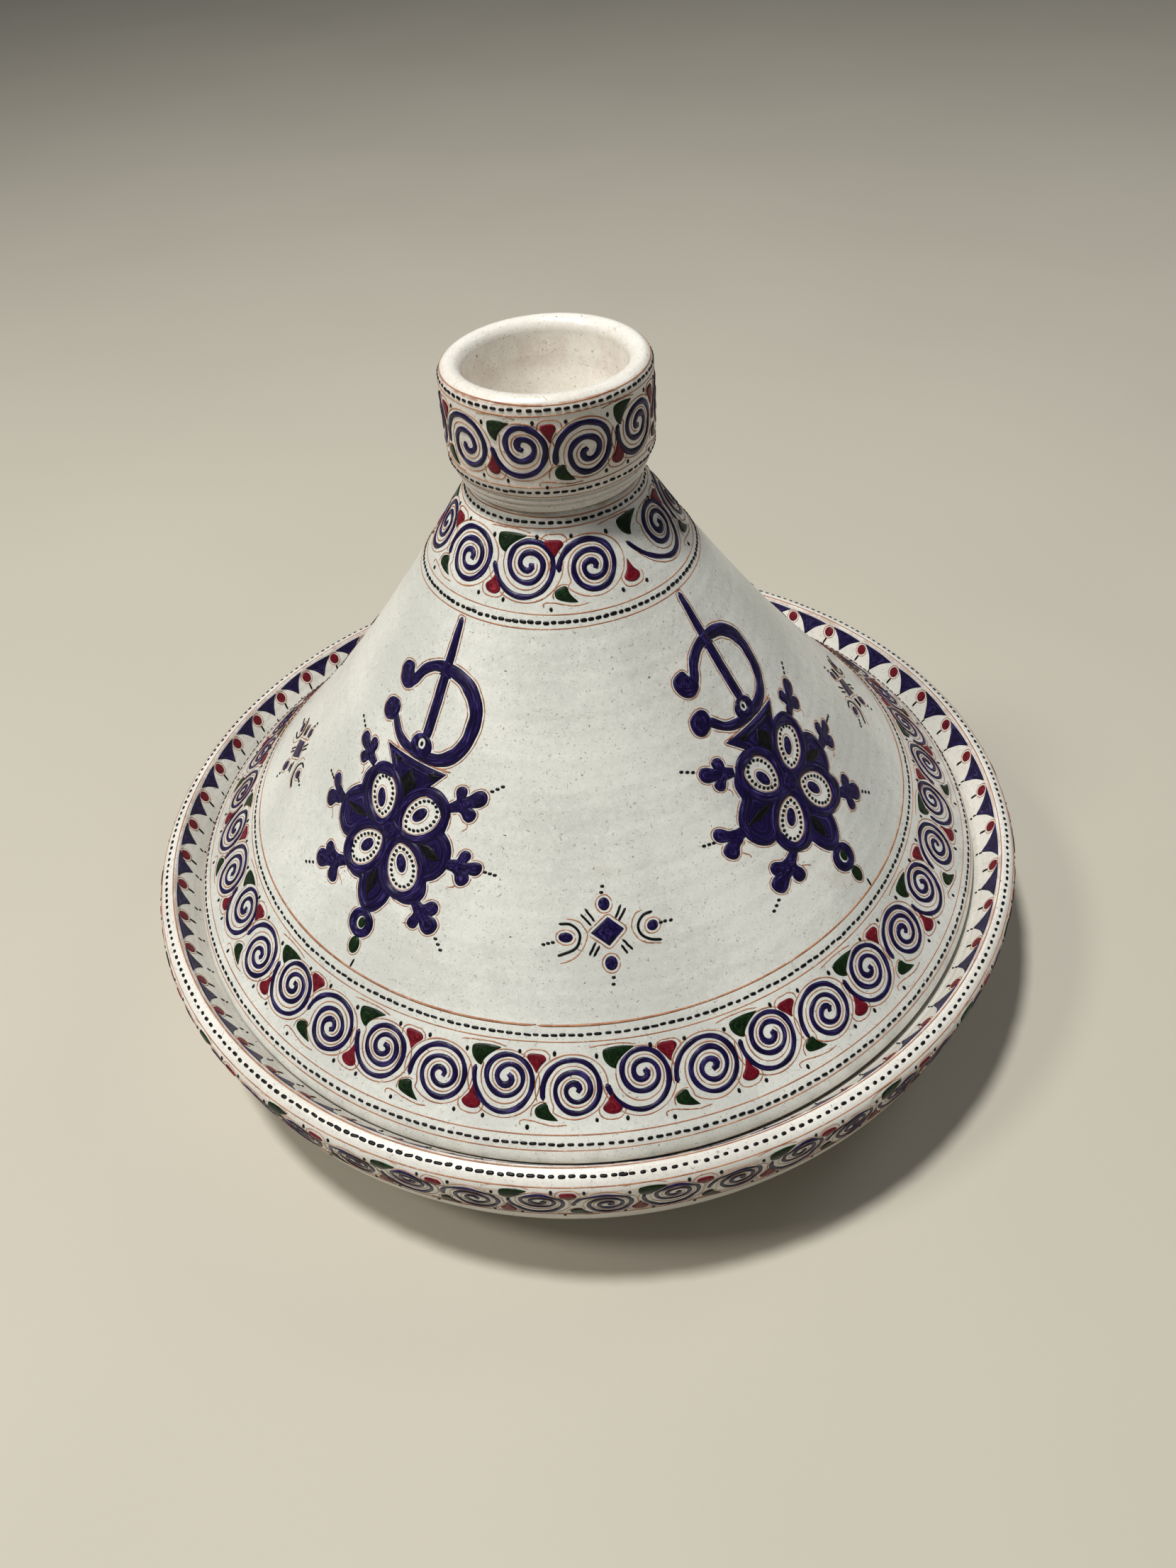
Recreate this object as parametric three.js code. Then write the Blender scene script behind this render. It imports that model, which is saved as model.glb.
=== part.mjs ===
// A lidded cooking pot in thrown earthenware: a shallow dish, and a tall conical lid with a hollow cup on top
// that serves as its knob. Everything is turned about +Z. Millimetres, with the origin at the centre of the
// foot, on the surface that the pot stands on.
import * as THREE from 'three';

// Driving dimensions
const rimRadius = 165; // painted line round the outside of the dish's rim
const dishHeight = 60; // foot to that line
const crownRise = 2.6; // the rim's top above it
const lidEdgeRadius = 152.6; // outermost edge of the lid
const neckRadius = 27.2; // where the cone meets the knob
const knobRadius = 32.4; // outside of the knob cup
const potHeight = 244; // foot to the top of the knob
const wall = 8; // thrown wall of the lid
const restGap = 0.3; // clearance under the lid where it sits

// Levels worked out from them
const seatLevel = dishHeight - 14.5; // ledge inside the dish that carries the lid
const lidBase = seatLevel + restGap;
const lidEdgeLevel = dishHeight - 8.5;
const neckLevel = potHeight - 37.5; // flat face where the knob is luted onto the cone
const flangeTop = { r: lidEdgeRadius - 2.3, z: lidEdgeLevel + 5.6 };

const lidSegments = 64;
const dishSegments = 64;
const knobSegments = 48;

const radians = (degrees) => THREE.MathUtils.degToRad(degrees);
const point = (r, z) => new THREE.Vector2(r, z);

// Points along an ellipse about (r, z), between two angles measured up from the outward direction
function arc({ r, z, across, up = across, from, to, steps }) {
  const points = [];
  for (let i = 0; i <= steps; i++) {
    const angle = radians(from + ((to - from) * i) / steps);
    points.push(point(r + across * Math.cos(angle), z + up * Math.sin(angle)));
  }
  return points;
}

// A solid of revolution about +Z, from an outline of (radius, height) points that starts and ends on the axis
function turned(name, outline, segments, material) {
  const geometry = new THREE.LatheGeometry(outline, segments);
  geometry.rotateX(Math.PI / 2); // the lathe turns about +Y
  const mesh = new THREE.Mesh(geometry, material);
  mesh.name = name;
  return mesh;
}

// Tin-white glaze over terracotta, a material of its own for each piece
const glaze = (color) => new THREE.MeshStandardMaterial({ color, roughness: 0.25, metalness: 0 });

// The dish: foot ring, belly that turns up into a nearly upright wall, rounded rim with a narrow crown, and
// inside it a sloping collar that leads down to the ledge for the lid
function dish() {
  const foot = { inner: 100, outer: 112, height: 3 };
  const belly = { r: rimRadius - 40.5, z: dishHeight - 13.5, across: 39.5, from: -70, to: -10, steps: 8 };
  const rim = { r: rimRadius - 1.8, z: dishHeight - 3.4, across: 3.6, from: -10, to: 60, steps: 4 };
  const crownRound = 1.5;
  const crown = {
    r: rimRadius - 3.9,
    z: dishHeight + crownRise - crownRound,
    across: crownRound,
    from: 50,
    to: 200,
    steps: 4,
  };
  const collarFoot = point(rimRadius - 13.9, seatLevel);
  const bowl = { r: 105, z: seatLevel - 3, across: 37, up: 30.5, from: 0, to: -90, steps: 7 };
  const outline = [
    point(0, foot.height),
    point(foot.inner - 2, foot.height),
    point(foot.inner, 0),
    point(foot.outer, 0),
    point(foot.outer + 2, foot.height),
    ...arc(belly),
    ...arc(rim),
    ...arc(crown),
    collarFoot,
    point(bowl.r + bowl.across, seatLevel),
    ...arc(bowl),
    point(0, bowl.z - bowl.up),
  ];
  return turned('base_dish', outline, dishSegments, glaze(0xe9e4d8));
}

// The cone: a gently hollow flare from the neck to the flange, one quadratic curve outside and one inside,
// closed at the top by a flat face and open underneath
function cone() {
  const flare = new THREE.QuadraticBezierCurve(
    point(flangeTop.r, flangeTop.z),
    point(95, dishHeight + 43),
    point(neckRadius, neckLevel),
  );
  const inside = new THREE.QuadraticBezierCurve(
    point(neckRadius - 0.84 * wall, neckLevel - 0.55 * wall),
    point(88.8, dishHeight + 38),
    point(141.5, lidEdgeLevel + 2.6),
  );
  const base = { inner: 143.6, outer: 149.2 };
  const outline = [
    point(0, inside.v0.y + 1),
    ...inside.getPoints(11),
    point(base.inner, lidBase),
    point(base.outer, lidBase),
    point(lidEdgeRadius - 0.9, lidEdgeLevel - 2.4),
    point(lidEdgeRadius, lidEdgeLevel),
    point(lidEdgeRadius - 0.5, lidEdgeLevel + 2.8),
    ...flare.getPoints(13),
    point(0, neckLevel),
  ];
  return turned('lid_cone', outline, lidSegments, glaze(0xe7e2d6));
}

// The knob: a deep cup with a thick rounded rim, and an underside that turns in to the neck
function knob() {
  const underside = { r: knobRadius - 8, z: neckLevel + 8.5, across: 8, up: 8.8, from: -72, to: 0, steps: 5 };
  const rim = { r: knobRadius - 3.9, z: potHeight - 3.9, across: 3.9, from: 0, to: 90, steps: 4 };
  const mouth = { r: rim.r, z: rim.z, across: 3.6, up: 3.9, from: 90, to: 180, steps: 4 };
  const floorLevel = neckLevel + 8;
  const outline = [
    point(0, neckLevel),
    point(neckRadius - 0.8, neckLevel),
    ...arc(underside),
    ...arc(rim),
    ...arc(mouth).slice(1),
    point(23.4, floorLevel + 12),
    point(20.8, floorLevel + 3.2),
    point(15.5, floorLevel + 0.4),
    point(0, floorLevel),
  ];
  return turned('lid_knob_cup', outline, knobSegments, glaze(0xece8de));
}

const pot = new THREE.Group();
pot.add(dish(), cone(), knob());

export default pot;
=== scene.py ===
"""The looks of a painted and glazed tagine pot: turned clay bodies with the marks of the wheel, and on them
trailed brown lines and raised enamel in indigo, green, crimson and black. Lengths are in millimetres until a
mesh is made. Azimuths are in degrees, 0 at the front and growing to the right."""

import math
from collections import namedtuple

import bpy
import numpy as np
from mathutils import Matrix, Vector
from mathutils.geometry import delaunay_2d_cdt


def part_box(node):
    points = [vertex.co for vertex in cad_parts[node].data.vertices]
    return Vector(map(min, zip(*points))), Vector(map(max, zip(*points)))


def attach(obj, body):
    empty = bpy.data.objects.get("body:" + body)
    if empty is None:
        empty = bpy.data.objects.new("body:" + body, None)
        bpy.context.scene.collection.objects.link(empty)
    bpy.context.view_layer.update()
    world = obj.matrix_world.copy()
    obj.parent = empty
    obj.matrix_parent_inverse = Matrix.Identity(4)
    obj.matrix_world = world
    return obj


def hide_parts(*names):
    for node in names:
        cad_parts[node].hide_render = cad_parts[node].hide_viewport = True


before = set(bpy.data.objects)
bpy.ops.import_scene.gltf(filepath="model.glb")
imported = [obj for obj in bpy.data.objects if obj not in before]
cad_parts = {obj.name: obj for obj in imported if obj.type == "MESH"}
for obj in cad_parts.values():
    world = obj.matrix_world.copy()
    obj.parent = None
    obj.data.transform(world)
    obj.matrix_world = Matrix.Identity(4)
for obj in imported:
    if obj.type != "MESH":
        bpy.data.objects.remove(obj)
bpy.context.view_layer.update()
MM = 0.001
ANY_PHASE = 6.3  # the most that a random phase may be: about one turn, in radians
rng = np.random.default_rng(7)


# ---- Sizes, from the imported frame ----

LINE_IN, LINE_DOWN = 1.8, 2.6  # the painted line round the rim, from the dish's widest point and its top
REST_GAP = 0.3  # under the lid where it sits
NECK_IN = 5.2  # from the knob's widest point in to the neck


def millimetres(node):
    """A CAD node's widest radius, its foot and its top."""
    low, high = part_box(node)
    return high.x / MM, low.z / MM, high.z / MM


dish_radius, _, dish_top = millimetres("base_dish")
lid_radius, lid_base, neck_level = millimetres("lid_cone")
knob_radius, _, knob_top = millimetres("lid_knob_cup")
rim_radius = dish_radius - LINE_IN
rim_level = dish_top - LINE_DOWN
seat_level = lid_base - REST_GAP
neck_radius = knob_radius - NECK_IN


# ---- Lines and outlines ----

ROUND = np.linspace(0, 2 * math.pi, 60, endpoint=False)  # angles once round an oval


def lengths(line):
    """How far along a line each of its points lies."""
    return np.r_[0, np.cumsum(np.hypot(*np.diff(line, axis=0).T))]


def points_at(line, places):
    """The points of a line at some distances along it."""
    return np.column_stack([np.interp(places, lengths(line), axis) for axis in line.T])


def resample(line, step, closed=False):
    """The same line with its points a step apart."""
    line = np.asarray(line, float)
    if closed:
        line = np.vstack([line, line[:1]])
    length = lengths(line)[-1]
    places = np.linspace(0, length, max(3, round(length / step)) + 1)
    return points_at(line, places[:-1] if closed else places)


def spline(points, step, closed=False):
    """A smooth line through given points, a step apart. A point given twice makes a corner."""
    p = np.array(points, float)
    ends = (p[-1:], p[:2]) if closed else (2 * p[:1] - p[1:2], 2 * p[-1:] - p[-2:-1])
    p = np.vstack([ends[0], p, ends[1]])
    t = np.linspace(0, 1, 12, endpoint=False)[:, None]
    pieces = []
    for a, b, c, d in zip(p[:-3], p[1:-2], p[2:-1], p[3:]):
        if np.array_equal(b, c):
            continue
        bend = (2 * a - 5 * b + 4 * c - d) * t**2 + (3 * b - a - 3 * c + d) * t**3
        pieces.append((2 * b + (c - a) * t + bend) / 2)
    if not closed:
        pieces.append(p[-2:-1])
    return resample(np.vstack(pieces), step, closed)


def arc(r, z, across, up, start, end):
    """Points on an ellipse about (r, z), between two angles in degrees up from the outward direction."""
    angle = np.radians(np.linspace(start, end, 24))
    return np.column_stack([r + across * np.cos(angle), z + up * np.sin(angle)])


def bezier(start, pull, end):
    """A curve from start to end, drawn towards a third point."""
    t = np.linspace(0, 1, 160)[:, None]
    return (1 - t) ** 2 * np.array(start) + 2 * t * (1 - t) * np.array(pull) + t**2 * np.array(end)


def ellipse(centre, across, up, step=0.5, axis=(1, 0)):
    """An oval outline. Axis is the direction of its half width across."""
    upwards = (-axis[1], axis[0])
    line = centre + np.outer(across * np.cos(ROUND), axis) + np.outer(up * np.sin(ROUND), upwards)
    return resample(line, step, closed=True)


def offset(r, z, points):
    """Points measured from (r, z)."""
    return [(r + out, z + up) for out, up in points]


def looped(outline):
    """A line once round an outline, with its ends overlapping."""
    return np.vstack([outline, outline[:3]])


def distance(points, loops):
    """How far each point is from the nearest edge of some closed outlines."""
    best = np.full(len(points), np.inf)
    for loop in loops:
        side = np.roll(loop, -1, 0) - loop
        reach = points[:, None] - loop
        share = np.clip((reach * side).sum(2) / (side**2).sum(1), 0, 1)
        best = np.minimum(best, np.linalg.norm(reach - share[..., None] * side, axis=2).min(1))
    return best


def inside(points, loops):
    """Which points lie inside the outlines, holes left out."""
    odd = np.zeros(len(points), bool)
    for loop in loops:
        a, b = loop, np.roll(loop, -1, 0)
        x, y = points[:, :1], points[:, 1:]
        spans = (a[:, 1] > y) != (b[:, 1] > y)
        rise = np.where(b[:, 1] == a[:, 1], 1e-9, b[:, 1] - a[:, 1])
        left = x < a[:, 0] + (y - a[:, 1]) * (b[:, 0] - a[:, 0]) / rise
        odd ^= (spans & left).sum(1) % 2 == 1
    return odd


def sideways(line, closed=False):
    """The unit direction to the left of a line at each of its points, with v pointing down."""
    if closed:
        tangent = np.roll(line, -1, 0) - np.roll(line, 1, 0)
    else:
        tangent = np.gradient(line, axis=0)
    tangent /= np.linalg.norm(tangent, axis=1)[:, None]
    return np.column_stack([tangent[:, 1], -tangent[:, 0]])


# ---- Flat shapes ----

# A closed body drawn flat. Its points are (u, v, height): u to the right, v down, height out of the clay.
# Brush holds how far across and along the brushstroke each point lies.
Shape = namedtuple("Shape", "points brush triangles")

BURIED = 0.25  # how deep the underside of a painted shape lies in the clay
BLUNT = 0.06  # how far into its round end a stroke starts, as a share of its half width
# A stroke's section: places across it, and the height of each that isn't buried
FINE_SECTION = np.array([-1, -0.72, 0, 0.72, 1, 0.6, -0.6]), np.array([-0.1, 0.72, 1, 0.72, -0.1])
PLAIN_SECTION = np.array([-1, 0, 1, 0]), np.array([-0.1, 1, -0.1])
ROW = 0.87  # between the rows of a triangular grid, as a share of its pitch
SWEEP = 6  # millimetres that a filled shape's brushstroke runs for each radian round its middle


def between_rings(rings, around):
    """The quads between rings of points, each with so many points around."""
    start = (np.arange(rings - 1) * around)[:, None]
    a, b = start + np.arange(around), start + np.roll(np.arange(around), -1)
    return np.dstack([a, a + around, b + around, b]).reshape(-1, 4)


def stroke(line, width, height, fine=True):
    """A rounded stroke along a line, narrowing to round ends. Width is one number or one for each point."""
    line = np.asarray(line, float)
    along = lengths(line)
    to_end = np.minimum(along, along[-1] - along) / (width / 2)
    taper = np.sqrt(1 - (1 - np.clip(to_end, BLUNT, 1)) ** 2)
    across, rise = FINE_SECTION if fine else PLAIN_SECTION
    side = sideways(line)
    reach = (width * taper / 2)[:, None] * across
    flat = line[:, None] + reach[..., None] * side[:, None]
    lift = np.full(flat.shape[:2], -BURIED)
    lift[:, : len(rise)] = height * taper[:, None] * rise
    points = np.dstack([flat, lift]).reshape(-1, 3)
    brush = np.dstack([reach, np.broadcast_to(along[:, None], reach.shape)]).reshape(-1, 2)
    n, k = flat.shape[:2]
    quads = between_rings(n, k)
    last = (n - 1) * k
    caps = [(0, j, j + 1) for j in range(1, k - 1)]
    caps += [(last, last + j + 1, last + j) for j in range(1, k - 1)]
    return Shape(points, brush, np.vstack([quads[:, [0, 1, 3]], quads[:, [3, 1, 2]], caps]))


def patch(outline, height, holes=(), shoulder=0.7, pitch=1.0):
    """A filled area that rises from its edge over a round shoulder. Holes are outlines too."""
    loops = [outline, *holes]
    inner = []
    for depth in (0.3 * shoulder, 0.75 * shoulder):
        for loop in loops:
            for sign in (1, -1):
                ring = loop + sign * depth * sideways(loop, closed=True)
                inner.append(ring[distance(ring, loops) > 0.9 * depth])
    low, high = outline.min(0), outline.max(0)
    grid = np.dstack(np.meshgrid(np.arange(low[0], high[0], pitch), np.arange(low[1], high[1], pitch * ROW)))
    grid[1::2, :, 0] += pitch / 2
    grid = grid.reshape(-1, 2)
    inner.append(grid[distance(grid, loops) > shoulder])
    inner = np.vstack(inner)
    inner = inner[inside(inner, loops)]
    edges, first = [], 0
    for loop in loops:
        edges += [(first + i, first + (i + 1) % len(loop)) for i in range(len(loop))]
        first += len(loop)
    cut = delaunay_2d_cdt([Vector(p) for p in np.vstack([*loops, inner])], edges, [], 0, 1e-5)
    flat = np.array([v[:] for v in cut[0]])
    triangles = np.array([f[:] for f in cut[2]])
    triangles = triangles[inside(flat[triangles].mean(1), loops)]
    away = distance(flat, loops)
    lift = height * np.sqrt(1 - (1 - np.clip(away / shoulder, 0, 1)) ** 2)
    n = len(flat)
    turned = triangles[:, ::-1]
    sides = {(a, b) for t in turned for a, b in zip(t, np.roll(t, -1))}
    rim = np.array([(a, b) for a, b in sides if (b, a) not in sides])
    a, b = rim.T
    walls = np.vstack([np.column_stack([b, a, a + n]), np.column_stack([b, a + n, b + n])])
    points = np.vstack([np.column_stack([flat, lift]), np.column_stack([flat, np.full(n, -BURIED)])])
    swept = np.arctan2(*(flat - flat.mean(0)).T) * SWEEP
    brush = np.tile(np.column_stack([away, swept]), (2, 1))
    return Shape(points, brush, np.vstack([turned, triangles + n, walls]))


def hand(line, amount):
    """A line moved a little off its way, as a hand moves it."""
    along = np.linspace(0, 1, len(line))
    shake = np.zeros((len(line), 2))
    for waves in (2, 5, 9):
        phase = rng.uniform(0, 2 * math.pi, 2)
        shake += np.sin(2 * math.pi * waves * along[:, None] + phase) * amount / waves**0.5
    return line + shake


def uneven(count, mean, amount):
    """A stroke's width along its length, swelling and thinning."""
    along = np.linspace(0, 1, count)
    width = np.ones(count)
    for waves in (3, 7, 13):
        width += amount / 2 * np.sin(2 * math.pi * (waves * along + rng.uniform()))
    return mean * width


# ---- Turned surfaces ----

WHEEL_MARKS = ((0.5, 2.7), (0.8, 4.9), (1, 8.3), (0.9, 15))  # depth as a share of the deepest, and spacing
OVAL_PHASE = 0.7  # which way a body is drawn out of round, in radians
MARKS_OUT, MARKS_UP = 15, 3  # no marks at the axis or under the foot: this far from there they are full


class Turned:
    """A surface turned about +Z from an outline of (r, z) that starts and ends on the axis and keeps the clay
    on its right. Wheel marks, chips and a slight oval are part of it, so that paint follows them."""

    def __init__(self, outline, rings, oval):
        self.line = resample(np.vstack(outline), 0.2)
        self.along = lengths(self.line)
        tangent = np.gradient(self.line, axis=0)
        for _ in range(3):
            tangent[1:-1] = (tangent[:-2] + tangent[1:-1] + tangent[2:]) / 3
        tangent /= np.linalg.norm(tangent, axis=1)[:, None]
        self.normal = np.column_stack([-tangent[:, 1], tangent[:, 0]])
        self.oval = oval
        self.rings = [(rings * depth, rng.uniform(0, ANY_PHASE), spacing, rng.uniform(0, ANY_PHASE),
                       rng.uniform(0.2, 0.9)) for depth, spacing in WHEEL_MARKS]
        self.dents = []

    def where(self, r, z):
        """The distance along the outline of its point nearest to (r, z)."""
        return self.along[np.argmin(np.hypot(*(self.line - (r, z)).T))]

    def relief(self, angle, at):
        """How far the surface stands off its true outline."""
        out = self.oval * np.cos(2 * angle + OVAL_PHASE)
        for size, phase, spacing, lean, drift in self.rings:
            out = out + size * np.sin(2 * math.pi * at / spacing + phase + drift * np.sin(angle + lean))
        for dent_angle, dent_at, radius, depth in self.dents:
            r = np.interp(dent_at, self.along, self.line[:, 0])
            off = np.hypot((angle - dent_angle) * r, at - dent_at) / radius
            out = out - depth * np.exp(-(off**2) * 2)
        return out

    def points(self, angle, at, lift=0.0):
        """Where on the clay a point lies, from its azimuth in radians and its distance along the outline."""
        r, z = (np.interp(at, self.along, axis) for axis in self.line.T)
        nr, nz = (np.interp(at, self.along, axis) for axis in self.normal.T)
        marked = np.clip(r / MARKS_OUT, 0, 1) * np.clip(z / MARKS_UP, 0, 1)
        off = lift + self.relief(angle, at) * marked
        r = r + nr * off
        return np.stack([r * np.sin(angle), -r * np.cos(angle), z + nz * off], -1)

    def body(self, name, steps, segments):
        """The clay body as a mesh. Steps holds places along the outline, each with how far apart the mesh's
        rings are up to it."""
        rows, here = [], 0.0
        for upto, step in steps:
            count = max(1, round((upto - here) / step))
            rows.append(np.linspace(here, upto, count, endpoint=False))
            here = upto
        rows = np.concatenate(rows)[1:]
        angle = np.linspace(0, 2 * math.pi, segments, endpoint=False)
        grid = self.points(*np.meshgrid(angle, rows)).reshape(-1, 3)
        top, bottom = (self.points(0.0, self.along[i]) for i in (0, -1))
        points = np.vstack([grid, top, bottom])
        quads = between_rings(len(rows), segments)
        last, pole = (len(rows) - 1) * segments, len(grid)
        fans = [(pole, i, (i + 1) % segments) for i in range(segments)]
        fans += [(pole + 1, last + (i + 1) % segments, last + i) for i in range(segments)]
        mesh = bpy.data.meshes.new(name)
        mesh.from_pydata((points * MM).tolist(), [], quads.tolist() + fans)
        place = np.append(np.repeat(rows, segments), (0, self.along[-1]))
        attribute = mesh.attributes.new("along", "FLOAT", "POINT")
        attribute.data.foreach_set("value", place.astype(np.float32))
        return mesh


class Skin:
    """The painted side of a turned surface, measured down from where the paint starts."""

    def __init__(self, surface, start, direction=1):
        self.surface = surface
        self.start = surface.where(*start)
        self.direction = direction

    def radius(self, down):
        """The pot's radius at a distance down from the start."""
        return np.interp(self.start + self.direction * down, self.surface.along, self.surface.line[:, 0])

    def place(self, shape, azimuth, down, turn=0.0):
        """The points of a flat shape laid on the clay, and its faces the right way out."""
        u, v, lift = shape.points.T
        c, s = math.cos(turn), math.sin(turn)
        at_down = down + s * u + c * v
        angle = math.radians(azimuth) + (c * u - s * v) / self.radius(at_down)
        points = self.surface.points(angle, self.start + self.direction * at_down, lift)
        triangles = shape.triangles if self.direction > 0 else shape.triangles[:, ::-1]
        return points, triangles


class Layer:
    """The paint of one colour on one skin: it gathers shapes and becomes one piece."""

    def __init__(self, name, skin, body, slot, paint):
        self.name, self.skin, self.body, self.slot, self.paint = name, skin, body, slot, paint
        self.points, self.triangles, self.brush = [], [], []
        self.count = 0

    def add(self, shape, azimuth, down, turn=0.0):
        points, triangles = self.skin.place(shape, azimuth, down, turn)
        self.points.append(points)
        self.triangles.append(triangles + self.count)
        lane = np.full((len(points), 1), rng.uniform(0, 100))
        self.brush.append(np.hstack([shape.brush, lane]))
        self.count += len(points)

    def piece(self):
        mesh = bpy.data.meshes.new(self.name)
        mesh.from_pydata((np.vstack(self.points) * MM).tolist(), [], np.vstack(self.triangles).tolist())
        attribute = mesh.attributes.new("brush", "FLOAT_VECTOR", "POINT")
        attribute.data.foreach_set("vector", np.vstack(self.brush).astype(np.float32).ravel())
        finished(self.name, mesh, self.body, self.slot, self.paint)


def finished(name, mesh, body, slot, paint):
    """A piece that rides on its body, with its material. The slot is not used."""
    mesh.shade_smooth()
    mesh.materials.append(paint)
    piece = bpy.data.objects.new(name, mesh)
    bpy.context.scene.collection.objects.link(piece)
    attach(piece, body)
    return piece


# ---- Materials ----

class Graph:
    """A node material under construction."""

    def __init__(self, name, roughness, coat=0.0):
        self.material = bpy.data.materials.new(name)
        self.material.use_nodes = True
        self.tree = self.material.node_tree
        self.shader = self.tree.nodes["Principled BSDF"]
        self.shader.inputs["Roughness"].default_value = roughness
        self.shader.inputs["Coat Weight"].default_value = coat
        self.shader.inputs["Coat Roughness"].default_value = 0.12

    def node(self, kind, output=0, settings=(), **inputs):
        """Adds a node and returns one of its outputs. Inputs are given by name, or by number as i0, i1 and so
        on, and each is a value or a socket."""
        made = self.tree.nodes.new("ShaderNode" + kind)
        for key, value in dict(settings).items():
            setattr(made, key, value)
        for key, value in inputs.items():
            self.feed(made.inputs[int(key[1:]) if key[1:].isdigit() else key.replace("_", " ")], value)
        return made.outputs[output]

    def feed(self, socket, value):
        if isinstance(value, bpy.types.NodeSocket):
            self.tree.links.new(value, socket)
        else:
            socket.default_value = value

    def math(self, operation, *values):
        named = {f"i{i}": value for i, value in enumerate(values)}
        return self.node("Math", settings={"operation": operation}, **named)

    def times(self, first, *others):
        """The product of several values."""
        for other in others:
            first = self.math("MULTIPLY", first, other)
        return first

    def ramp(self, factor, low, high):
        """A smooth step from 0 at low to 1 at high."""
        return self.node("MapRange", settings={"interpolation_type": "SMOOTHSTEP"}, Value=factor,
                         From_Min=low, From_Max=high)

    def mix(self, factor, a, b):
        """Colour a, and colour b over it by the factor."""
        made = self.tree.nodes.new("ShaderNodeMix")
        made.data_type = "RGBA"
        for index, value in ((0, factor), (6, a), (7, b)):
            self.feed(made.inputs[index], value)
        return made.outputs[2]

    def noise(self, place, scale, detail=2.0, rough=0.5):
        return self.node("TexNoise", Vector=place, Scale=scale, Detail=detail, Roughness=rough)

    def place(self, stretch=(1, 1, 1)):
        """The place on the object in millimetres, stretched along each axis."""
        spot = self.node("TexCoord", output=3)
        return self.node("Mapping", Vector=spot, Scale=tuple(s / MM for s in stretch))

    def attribute(self, name):
        made = self.tree.nodes.new("ShaderNodeAttribute")
        made.attribute_name = name
        return made

    def finish(self, color, factor, low, high):
        """Sets the colour, and a roughness that goes from low to high with the factor."""
        self.feed(self.shader.inputs["Base Color"], color)
        rough = self.node("MapRange", Value=factor, To_Min=low, To_Max=high)
        self.feed(self.shader.inputs["Roughness"], rough)

    def bump(self, height, strength, distance_mm):
        normal = self.node("Bump", Height=height, Strength=strength, Distance=distance_mm * MM)
        self.tree.links.new(normal, self.shader.inputs["Normal"])


def rgb(red, green, blue):
    """A linear colour from screen values of 0 to 255."""
    return tuple(((c / 255 + 0.055) / 1.055) ** 2.4 for c in (red, green, blue)) + (1.0,)


HOLE = rgb(92, 84, 74)
HAIRLINE = rgb(120, 110, 98)
STAIN = rgb(186, 160, 128)
BARE_CLAY = rgb(158, 104, 78)
# Holes in the glaze: how many to a millimetre, radius, share of them that show, darkness
HOLES = ((0.62, 0.17, 0.55, 0.65), (0.2, 0.08, 0.5, 0.95), (1.5, 0.24, 0.45, 0.5))


def glaze(name, pale, deep, bare_places):
    """Tin glaze over terracotta. Bare places are (distance along the outline, half width, strength): there
    the glaze is thin and the clay shows through."""
    g = Graph(name, roughness=0.3, coat=0.2)
    place = g.place()
    clouds = g.noise(place, 0.018, 3.0)
    mottle = g.noise(place, 0.35, 4.0, 0.6)
    grain = g.noise(place, 1.1, 3.0, 0.6)
    tone = g.math("ADD", g.times(clouds, 0.6), g.times(mottle, 0.2))
    tone = g.math("ADD", tone, g.times(grain, 0.2))
    color = g.mix(g.ramp(tone, 0.4, 0.6), pale, deep)
    warp = g.node("TexNoise", output=1, Vector=place, Scale=0.5, Detail=1.0)
    bent = g.node("VectorMath", settings={"operation": "ADD"}, i0=place,
                  i1=g.node("VectorMath", settings={"operation": "SCALE"}, i0=warp, Scale=2.6))
    for scale, size, share, dark in HOLES:
        cell = g.tree.nodes.new("ShaderNodeTexVoronoi")
        g.feed(cell.inputs["Vector"], bent)
        cell.inputs["Scale"].default_value = scale
        chosen = g.math("LESS_THAN", g.node("SeparateColor", Color=cell.outputs["Color"]), share)
        near = g.ramp(cell.outputs["Distance"], size, size * 0.4)
        color = g.mix(g.times(near, chosen, dark), color, HOLE)
    hairs = g.math("ABSOLUTE", g.math("SUBTRACT", g.noise(bent, 0.3, 2.0), 0.5))
    broken = g.ramp(g.noise(place, 0.75, 2.0), 0.55, 0.62)
    color = g.mix(g.times(g.ramp(hairs, 0.014, 0.004), broken, 0.65), color, HAIRLINE)
    stains = g.ramp(g.noise(place, 0.045, 5.0, 0.65), 0.62, 0.74)
    color = g.mix(g.times(stains, 0.2), color, STAIN)
    along = g.attribute("along").outputs["Fac"]
    patchy = g.ramp(g.noise(g.place((1, 1, 0.6)), 0.12, 4.0, 0.65), 0.38, 0.62)
    for at, half, strength in bare_places:
        off = g.math("ABSOLUTE", g.math("SUBTRACT", along, at))
        color = g.mix(g.times(g.ramp(off, half, half * 0.25), patchy, strength), color, BARE_CLAY)
    g.finish(color, mottle, 0.24, 0.42)
    pits = g.node("TexVoronoi", Vector=place, Scale=0.3)
    skin = g.math("ADD", g.noise(place, 0.22, 3.0), g.times(g.ramp(pits, 0.0, 0.07), 0.35))
    g.bump(skin, strength=0.35, distance_mm=0.5)
    return g.material


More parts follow.
